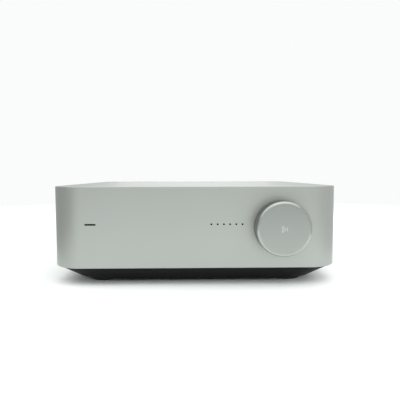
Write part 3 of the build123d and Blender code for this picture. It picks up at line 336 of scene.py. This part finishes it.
# The nodes that wear each finish
nodeFinish = {
    "caseMetal": ["shell"],
    "knobMetal": ["volume_knob"],
    "baseBlack": ["base_tray"],
    "panelBlack": ["rear_panel", "phono_blocks", "mains_inlet", "post_bushes"],
    "rubberBlack": ["rubber_feet", "power_leads"],
    "innerBlack": [
        "encoder_rotor", "encoder_plunger", "socket_tongues", "optical_housing", "optical_shutter",
        "network_socket", "semiconductors", "mains_fuse", "antenna_strip",
    ],
    "screwBlack": ["rear_panel_screws"],
    "socketSteel": [
        "base_screws", "board_screws", "post_nuts", "encoder_housing", "encoder_nut", "encoder_shaft",
        "hdmi_shell", "usb_shell", "radio_shield",
    ],
    "goldPlate": ["post_studs", "network_contacts"],
    "nickelPlate": ["phono_barrels", "mains_pins"] + [n for n in nodes if n.startswith("clamp_washer")],
    "capRed": [n for n in nodes if n.startswith("post_cap") and n.endswith("plus")],
    "capBlack": [n for n in nodes if n.startswith("post_cap") and n.endswith("minus")],
    "phonoWhite": ["phono_insert_white"],
    "phonoRed": ["phono_insert_red"],
    "phonoBlack": ["phono_insert_black"],
    "boardGreen": ["main_board", "power_board", "front_board", "speaker_board"],
    "copperWire": ["windings", "speaker_straps"],
    "ivoryPlastic": ["ribbon_connectors"],
    "sinkBlack": ["heat_sinks", "electrolytic_capacitors"],
    "ferriteGrey": ["ferrite_cores", "output_inductors"],
    "filmYellow": ["film_capacitors"],
    "ledWhite": ["front_leds"],
    "ribbonWhite": ["ribbon_cable"],
    "padGrey": ["thermal_pad"],
    "lensDark": ["status_light_guide", "level_light_guide"],
}
for look, names in nodeFinish.items():
    for name in names:
        nodes[name].data.materials.clear()
        nodes[name].data.materials.append(finish[look])
unfinished = set(nodes) - {name for names in nodeFinish.values() for name in names}
print("materials given; nodes without one:", sorted(unfinished))


# Mesh from points in millimetres, or in another unit where one is given, shaded smooth where asked
def meshPiece(name, points, faces, smooth=False, unit=mm):
    mesh = bpy.data.meshes.new(name)
    mesh.from_pydata((np.asarray(points) * unit).tolist(), [], [list(face) for face in faces])
    if smooth:
        mesh.polygons.foreach_set("use_smooth", np.ones(len(mesh.polygons), bool))
    piece = bpy.data.objects.new(name, mesh)
    bpy.context.scene.collection.objects.link(piece)
    return piece


# Faces of a grid of points, rows by columns. The columns close on themselves. The rows do so too, or the
# first and the last row close on two poles, the points after the grid
def gridFaces(rows, columns, poles=False, start=0):
    along = np.arange(columns)
    after = (along + 1) % columns
    row = np.arange(rows - 1 if poles else rows)[:, None]
    here, below = row * columns, (row + 1) % rows * columns
    quads = np.stack([here + along, below + along, below + after, here + after], axis=2)
    faces = (quads.reshape(-1, 4) + start).tolist()
    if poles:
        pole = np.full(columns, rows * columns + start)
        end = (rows - 1) * columns + start
        faces += np.column_stack([pole, along + start, after + start]).tolist()
        faces += np.column_stack([pole + 1, after + end, along + end]).tolist()
    return faces


# Middle of a node seen along Y, in millimetres
def middleOf(node):
    low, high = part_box(node)
    return (low.x + high.x) / 2 / mm, (low.z + high.z) / 2 / mm


# Round pieces that face along Y: a profile of radius r and height h, turned by the angle a, so that
# x = r cos a, z = r sin a, y = face + h outwards. The first rows may be six-sided: r / cos(a within a
# sixth), and the whole may be stretched along X to a stadium by half its straight length
def turnedPiece(name, centres, face, outward, profile, sides, straight=0.0, sixSided=0):
    angle = np.linspace(0, 2 * np.pi, sides, endpoint=False) * -outward
    radius, height = np.array(profile).T
    hexagon = 1 / np.cos(np.mod(angle, np.pi / 3) - np.pi / 6)
    swell = np.where(np.arange(len(profile))[:, None] < sixSided, hexagon, 1.0)
    reach = radius[:, None] * swell
    nudge = 1e-9  # keeps the points straight above and below the middle on one side
    x = reach * np.cos(angle) + straight * np.sign(np.cos(angle) + nudge)
    z = reach * np.sin(angle)
    y = np.repeat(face + outward * height[:, None], sides, axis=1)
    form = np.stack([x, y, z], axis=2).reshape(-1, 3)
    form = np.vstack([form, [0, y[0, 0], 0], [0, y[-1, 0], 0]])
    points, faces = [], []
    for centreX, centreZ in centres:
        faces += gridFaces(len(profile), sides, True, len(points) * len(form))
        points.append(form + (centreX, 0, centreZ))
    return meshPiece(name, np.vstack(points), faces, True)


# Cut rim of the knob: a thin ring that brings the rounding of its edge down from the solid's. It sinks a
# little into the solid, and ends at the face and at the wall in flats as wide as the margin
knobRim = {"edge": 1.95, "rounding": 3.0, "sink": 0.05, "margin": 0.05, "steps": 14, "sides": 160}


# The ring's section runs out over the face, down an arc of the edge's radius, along the wall, and back
# inside the knob's own rounding. It is turned by the angle a: x = r cos a, z = r sin a
def makeKnobRim(c):
    low, high = (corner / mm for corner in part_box("volume_knob"))
    middleX, middleZ = middleOf("volume_knob")
    radius, face = (high.x - low.x) / 2, low.y
    edge, rounding, inner = c["edge"], c["rounding"], c["rounding"] - c["sink"]
    bend = np.linspace(0, np.pi / 2, c["steps"])
    arc = np.column_stack([radius - edge + edge * np.sin(bend), edge - edge * np.cos(bend)])
    back = np.column_stack([radius - rounding + inner * np.sin(bend), rounding - inner * np.cos(bend)])[::-1]
    first = radius - rounding + c["sink"] / 2
    flat = [(first, 0), (first + c["margin"], 0)]
    wall = [(radius, rounding - c["margin"]), (radius, rounding)]
    reach, depth = np.vstack([flat, arc, wall, back]).T[:, :, None]
    angle = np.linspace(0, 2 * np.pi, c["sides"], endpoint=False)
    x = middleX + reach * np.cos(angle)
    z = middleZ + reach * np.sin(angle)
    y = np.repeat(face + depth, c["sides"], axis=1)
    points = np.stack([x, y, z], axis=2).reshape(-1, 3)
    rim = meshPiece("knobRim", points, gridFaces(len(reach), c["sides"]), True)
    rim.data.materials.append(finish["knobMetal"])
    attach(rim, "knob")


makeKnobRim(knobRim)

# Play and pause sign printed on the knob: an outlined triangle and a short bar
glyph = {
    "middle": 37.75, "line": 0.42, "proud": 0.008,
    "triangle": {"left": 53.35, "right": 55.75, "half": 2.35},
    "bar": {"left": 56.25, "right": 56.7, "half": 1.25},
    "paint": {"colour": (0.5, 0.525, 0.5), "roughness": 0.4},
}


# A flat figure at depth y, of one face round its corners (x, z), or a strip of quads to an inner outline
def flatFigure(name, y, outer, inner=()):
    corners = np.array(list(outer) + list(inner))
    points = np.column_stack([corners[:, 0], np.full(len(corners), y), corners[:, 1]])
    count = len(outer)
    first = np.arange(count)
    after = (first + 1) % count
    faces = np.column_stack([first, after, after + count, first + count]) if len(inner) else [first]
    return meshPiece(name, points, faces)


# The triangle points right, and its inner outline keeps the line's width from each side: along the
# middle that is line / sin(slope), and up the left side line tan(slope) + line / cos(slope)
def makeGlyph(c):
    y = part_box("volume_knob")[0].y / mm - c["proud"]
    middle, line = c["middle"], c["line"]
    left, right, half = (c["triangle"][key] for key in ("left", "right", "half"))
    slope = math.atan2(half, right - left)
    tip = line / math.sin(slope)
    corner = line * math.tan(slope) + line / math.cos(slope)
    outer = [(left, middle + half), (left, middle - half), (right, middle)]
    short = half - corner
    inner = [(left + line, middle + short), (left + line, middle - short), (right - tip, middle)]
    triangle = flatFigure("playTriangle", y, outer, inner)
    left, right, half = (c["bar"][key] for key in ("left", "right", "half"))
    low, high = middle - half, middle + half
    bar = flatFigure("playBar", y, [(left, low), (right, low), (right, high), (left, high)])
    paint = mouldedPlastic("glyphPaint", **c["paint"])
    for piece in (triangle, bar):
        piece.data.materials.append(paint)
        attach(piece, "knob")


makeGlyph(glyph)
print("knob rim and glyph made")

# Dark lenses in front of the light guides, in the six level holes and the status slot: a hair proud of
# the front, domed by their rise, and reaching a little into the holes
lenses = {
    "proud": 0.01, "rise": 0.03, "sink": 0.02,
    "rows": (0.35, 0.7, 0.9, 1.0),  # radii of the dome's rows, as shares of the lens's
    "level": {"count": 6, "step": 4.0, "radius": 0.62, "sides": 24},
    "status": {"straight": 3.0, "radius": 0.58, "sides": 32},
}


# Shallow dome: height rises as 1 - s squared from the rim at s = 1 to the middle at s = 0
def lensProfile(radius, c):
    s = np.array(c["rows"])
    dome = np.column_stack([radius * s, c["proud"] + c["rise"] * (1 - s ** 2)])
    return dome.tolist() + [(radius, -c["sink"])]


def makeLenses(c):
    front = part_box("shell")[0].y / mm
    dots, bar = c["level"], c["status"]
    middleX, middleZ = middleOf("level_light_guide")
    holes = [(middleX + dots["step"] * (i - (dots["count"] - 1) / 2), middleZ) for i in range(dots["count"])]
    level = turnedPiece("levelLenses", holes, front, -1, lensProfile(dots["radius"], c), dots["sides"])
    status = turnedPiece("statusLens", [middleOf("status_light_guide")], front, -1,
                         lensProfile(bar["radius"], c), bar["sides"], straight=bar["straight"])
    for piece, slot in ((level, "level_lens"), (status, "status_lens")):
        piece.data.materials.append(finish["lensDark"])
        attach(piece, "chassis")


makeLenses(lenses)

# Button-head screws of the rear panel, with a six-sided socket in a domed head
panelScrew = {
    "head": 2.8, "rise": 1.8, "sink": 0.3,  # radius and height of the head, and its reach into the panel
    "crown": 1.6, "edge": 0.5, "rows": 8,  # the dome falls from the crown's radius to the edge's height
    "socket": 1.15, "socketDepth": 1.1, "bevel": 0.12,
    "sides": 48,
}


# The dome is a quarter of an ellipse: r = crown + (head - crown) sin t, h = edge + (rise - edge) cos t
def makePanelScrews(c):
    low, high = (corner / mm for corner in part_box("rear_panel_screws"))
    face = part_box("rear_panel")[1].y / mm
    head, top, crown, edge, socket = c["head"], c["rise"], c["crown"], c["edge"], c["socket"]
    bend = np.linspace(0, np.pi / 2, c["rows"])
    dome = np.column_stack([crown + (head - crown) * np.sin(bend), edge + (top - edge) * np.cos(bend)])
    recess = [(socket, top - c["socketDepth"]), (socket, top - c["bevel"]), (socket + c["bevel"], top)]
    profile = recess + dome.tolist() + [(head, -c["sink"])]
    centres = [(x, z) for x in (low.x + head, high.x - head) for z in (low.z + head, high.z - head)]
    screws = turnedPiece("panelScrewHeads", centres, face, 1, profile, c["sides"], sixSided=len(recess))
    screws.data.materials.append(finish["screwBlack"])
    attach(screws, "chassis")
    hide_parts("rear_panel_screws")


makePanelScrews(panelScrew)

# Thread of the binding posts: a ridge of rhombic section wound round each stud
thread = {
    "root": 2.95, "crest": 3.03, "pitch": 0.7, "width": 0.28,
    "from": 94.2, "to": 105.4,  # along Y
    "perTurn": 24,
    "fade": 0.5,  # turns over which the ridge fades in and out
}


# Helix after t turns: x = r cos(2 pi t), z = r sin(2 pi t), y = from + pitch t. The section's four corners
# lie round that point, at a distance scaled by the fade, and a pole closes each end
def makeThreads(c):
    turns = (c["to"] - c["from"]) / c["pitch"]
    t = np.linspace(0, turns, int(turns * c["perTurn"]))[1:-1, None]
    fade = np.clip(np.minimum(t, turns - t) / c["fade"], 0, 1)
    radius = c["root"] + fade * (c["crest"] - c["root"]) * np.array([1, 0, -1, 0])
    y = c["from"] + c["pitch"] * t + fade * c["width"] * np.array([0, -1, 0, 1])
    angle = 2 * np.pi * t
    helix = np.stack([radius * np.cos(angle), y, radius * np.sin(angle)], axis=2)
    form = np.vstack([helix.reshape(-1, 3), helix[0].mean(axis=0), helix[-1].mean(axis=0)])
    points, faces = [], []
    for name in ("right_plus", "right_minus", "left_minus", "left_plus"):
        middleX, middleZ = middleOf("post_cap_" + name)
        faces += gridFaces(*helix.shape[:2], True, len(points) * len(form))
        points.append(form + (middleX, 0, middleZ))
    ridges = meshPiece("studThreads", np.vstack(points), faces, True)
    ridges.data.materials.append(finish["goldPlate"])
    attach(ridges, "chassis")


makeThreads(thread)

# Plain plus and minus signs printed on the rear panel over the binding posts
signs = {
    "above": 1.25, "arm": 0.8, "line": 0.34, "proud": 0.02,
    "paint": {"colour": (0.62, 0.63, 0.62), "roughness": 0.45},
}


def makeSigns(c):
    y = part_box("rear_panel")[1].y / mm + c["proud"]
    paint = mouldedPlastic("signPaint", **c["paint"])
    half, arm = c["line"] / 2, c["arm"]
    cross = [
        (half, half), (half, arm), (-half, arm), (-half, half), (-arm, half), (-arm, -half),
        (-half, -half), (-half, -arm), (half, -arm), (half, -half), (arm, -half), (arm, half),
    ]
    dash = [(arm, half), (-arm, half), (-arm, -half), (arm, -half)]
    for side in ("right", "left"):
        for kind, shape in (("plus", cross), ("minus", dash)):
            low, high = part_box(f"post_cap_{side}_{kind}")
            x, z = (low.x + high.x) / 2 / mm, high.z / mm + c["above"]
            # mirrored in X, because the panel is read from behind
            piece = flatFigure(f"{side}{kind.capitalize()}Sign", y, [(x - u, z + v) for u, v in shape])
            piece.data.materials.append(paint)
            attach(piece, "chassis")


makeSigns(signs)
print("lenses, screws, threads and signs made")


# Floor and backdrop
backdrop = {
    "floorColour": (0.87, 0.9, 0.895),
    "floorRoughness": 0.6,
    "wallColour": (0.955, 0.975, 0.965),
    "fadeStart": 0.28,  # distance from the middle of the case where the floor turns into the backdrop
    "fadeEnd": 0.75,
    "half": 4.0,
}

# How bright the room is in front, past the left and right sides, straight behind and above, and where
# one part takes over from another, in the X, Y or Z of a direction
room = {
    "front": 0.76, "left": 0.39, "right": 0.49, "back": 1.8, "up": 1.55,
    "rightward": (-0.3, 0.3), "sideward": (-0.6, 0.3), "backward": (0.9, 0.99), "upward": (0.1, 0.9),
}


# The tone of the room in a direction: the sides take over as it turns away from the front, left or
# right by the sign of X, then the part straight behind, then the ceiling
def roomTone(tree, direction, c):
    x, y, z = splitVector(tree, direction)
    rightward = riseOver(tree, x, *c["rightward"])
    sideward = riseOver(tree, y, *c["sideward"])
    backward = riseOver(tree, y, *c["backward"])
    upward = riseOver(tree, z, *c["upward"])
    tone = mixValues(tree, "FLOAT", rightward, c["left"], c["right"])
    tone = mixValues(tree, "FLOAT", sideward, c["front"], tone)
    tone = mixValues(tree, "FLOAT", backward, tone, c["back"])
    return mixValues(tree, "FLOAT", upward, tone, c["up"])


# Is this a ray that should see the pale background: one from the camera, a mirror or clear plastic
def seesBackground(tree):
    paths = tree.nodes.new("ShaderNodeLightPath").outputs
    either = mathStep(tree, "MAXIMUM", paths["Is Camera Ray"], paths["Is Glossy Ray"])
    return mathStep(tree, "MAXIMUM", either, paths["Is Transmission Ray"])


# The floor turns into the glowing backdrop far away, as bright there as the room is in that direction.
# The camera sees it at full strength
def paleFloor(b, c):
    half = b["half"]
    corners = [(-half, -half, 0), (half, -half, 0), (half, half, 0), (-half, half, 0)]
    floor = meshPiece("paleFloor", corners, [range(4)], unit=1)
    material, tree, shader, place = newMaterial("paleFloor")
    shader.inputs["Base Color"].default_value = (*b["floorColour"], 1)
    shader.inputs["Roughness"].default_value = b["floorRoughness"]
    away = riseOver(tree, vectorStep(tree, "LENGTH", place), b["fadeStart"], b["fadeEnd"])
    shown = mathStep(tree, "MULTIPLY", away, seesBackground(tree))
    glow = tree.nodes.new("ShaderNodeEmission")
    glow.inputs["Color"].default_value = (*b["wallColour"], 1)
    tone = roomTone(tree, vectorStep(tree, "NORMALIZE", place), c)
    paths = tree.nodes.new("ShaderNodeLightPath").outputs
    tree.links.new(mixValues(tree, "FLOAT", paths["Is Camera Ray"], tone, 1.0), glow.inputs["Strength"])
    mixShaders(tree, shown, shader.outputs["BSDF"], glow.outputs["Emission"], tree.nodes["Material Output"])
    floor.data.materials.append(material)


paleFloor(backdrop, room)


# The room lights the case, and the camera sees the plain wall colour instead
def softWorld(b, c):
    world = bpy.data.worlds.new("softWorld")
    bpy.context.scene.world = world
    world.use_nodes = True
    tree = world.node_tree
    light = tree.nodes["Background"]
    light.inputs["Color"].default_value = (1, 1, 1, 1)
    place = tree.nodes.new("ShaderNodeTexCoord")
    tree.links.new(roomTone(tree, place.outputs["Generated"], c), light.inputs["Strength"])
    wall = tree.nodes.new("ShaderNodeBackground")
    wall.inputs["Color"].default_value = (*b["wallColour"], 1)
    paths = tree.nodes.new("ShaderNodeLightPath").outputs
    mixShaders(tree, paths["Is Camera Ray"], light.outputs["Background"], wall.outputs["Background"],
               tree.nodes["World Output"])


softWorld(backdrop, room)

# Two grey cards stand beside the case, and only its metal sees them, as a mirror would
cards = {
    "away": 0.18,  # from the middle of the case
    "front": -0.26,
    "back": 0.6,
    "height": 0.15,
    "fadeStart": -0.24,  # along Y, from the near tone to the far one
    "fadeEnd": -0.08,
    "left": {"near": 0.58, "far": 0.49},
    "right": {"near": 0.85, "far": 0.76},
}


def greyCard(name, x, tones, c):
    front, back, top = c["front"], c["back"], c["height"]
    corners = [(x, front, 0), (x, back, 0), (x, back, top), (x, front, top)]
    card = meshPiece(name, corners, [range(4)], unit=1)
    material, tree, shader, place = newMaterial(name)
    depth = splitVector(tree, place)["Y"]
    tone = blendNumbers(tree, depth, tones["near"], tones["far"], c["fadeStart"], c["fadeEnd"])
    shader.inputs["Base Color"].default_value = (0, 0, 0, 1)
    shader.inputs["Specular IOR Level"].default_value = 0.0
    shader.inputs["Emission Color"].default_value = (1, 1, 1, 1)
    tree.links.new(tone, shader.inputs["Emission Strength"])
    card.data.materials.append(material)
    card.visible_camera = False
    card.visible_diffuse = False
    card.visible_shadow = False


greyCard("leftCard", -cards["away"], cards["left"], cards)
greyCard("rightCard", cards["away"], cards["right"], cards)

# The overhead lamp shows in the metal, and the fills leave no streak in it
lamps = {
    "overhead": {
        "place": (0.1, -0.5, 1.05), "target": (0.0, -0.1, 0.0),
        "size": 1.0, "power": 0.5, "streak": True,
    },
    "fillLeft": {
        "place": (-0.85, -0.15, 0.65), "target": (-0.05, 0.0, 0.0),
        "size": 0.8, "power": 3.1, "streak": False,
    },
    "fillRight": {
        "place": (0.9, -0.15, 0.42), "target": (0.05, 0.0, 0.0),
        "size": 0.8, "power": 5.8, "streak": False,
    },
}


def areaLight(name, place, target, size, power, streak):
    data = bpy.data.lights.new(name, "AREA")
    data.shape = "DISK"
    data.size = size
    data.energy = power
    light = bpy.data.objects.new(name, data)
    bpy.context.scene.collection.objects.link(light)
    light.location = place
    light.rotation_euler = (Vector(target) - Vector(place)).to_track_quat("-Z", "Y").to_euler()
    light.visible_glossy = streak


for name, lamp in lamps.items():
    areaLight(name, **lamp)
print("floor and light set")
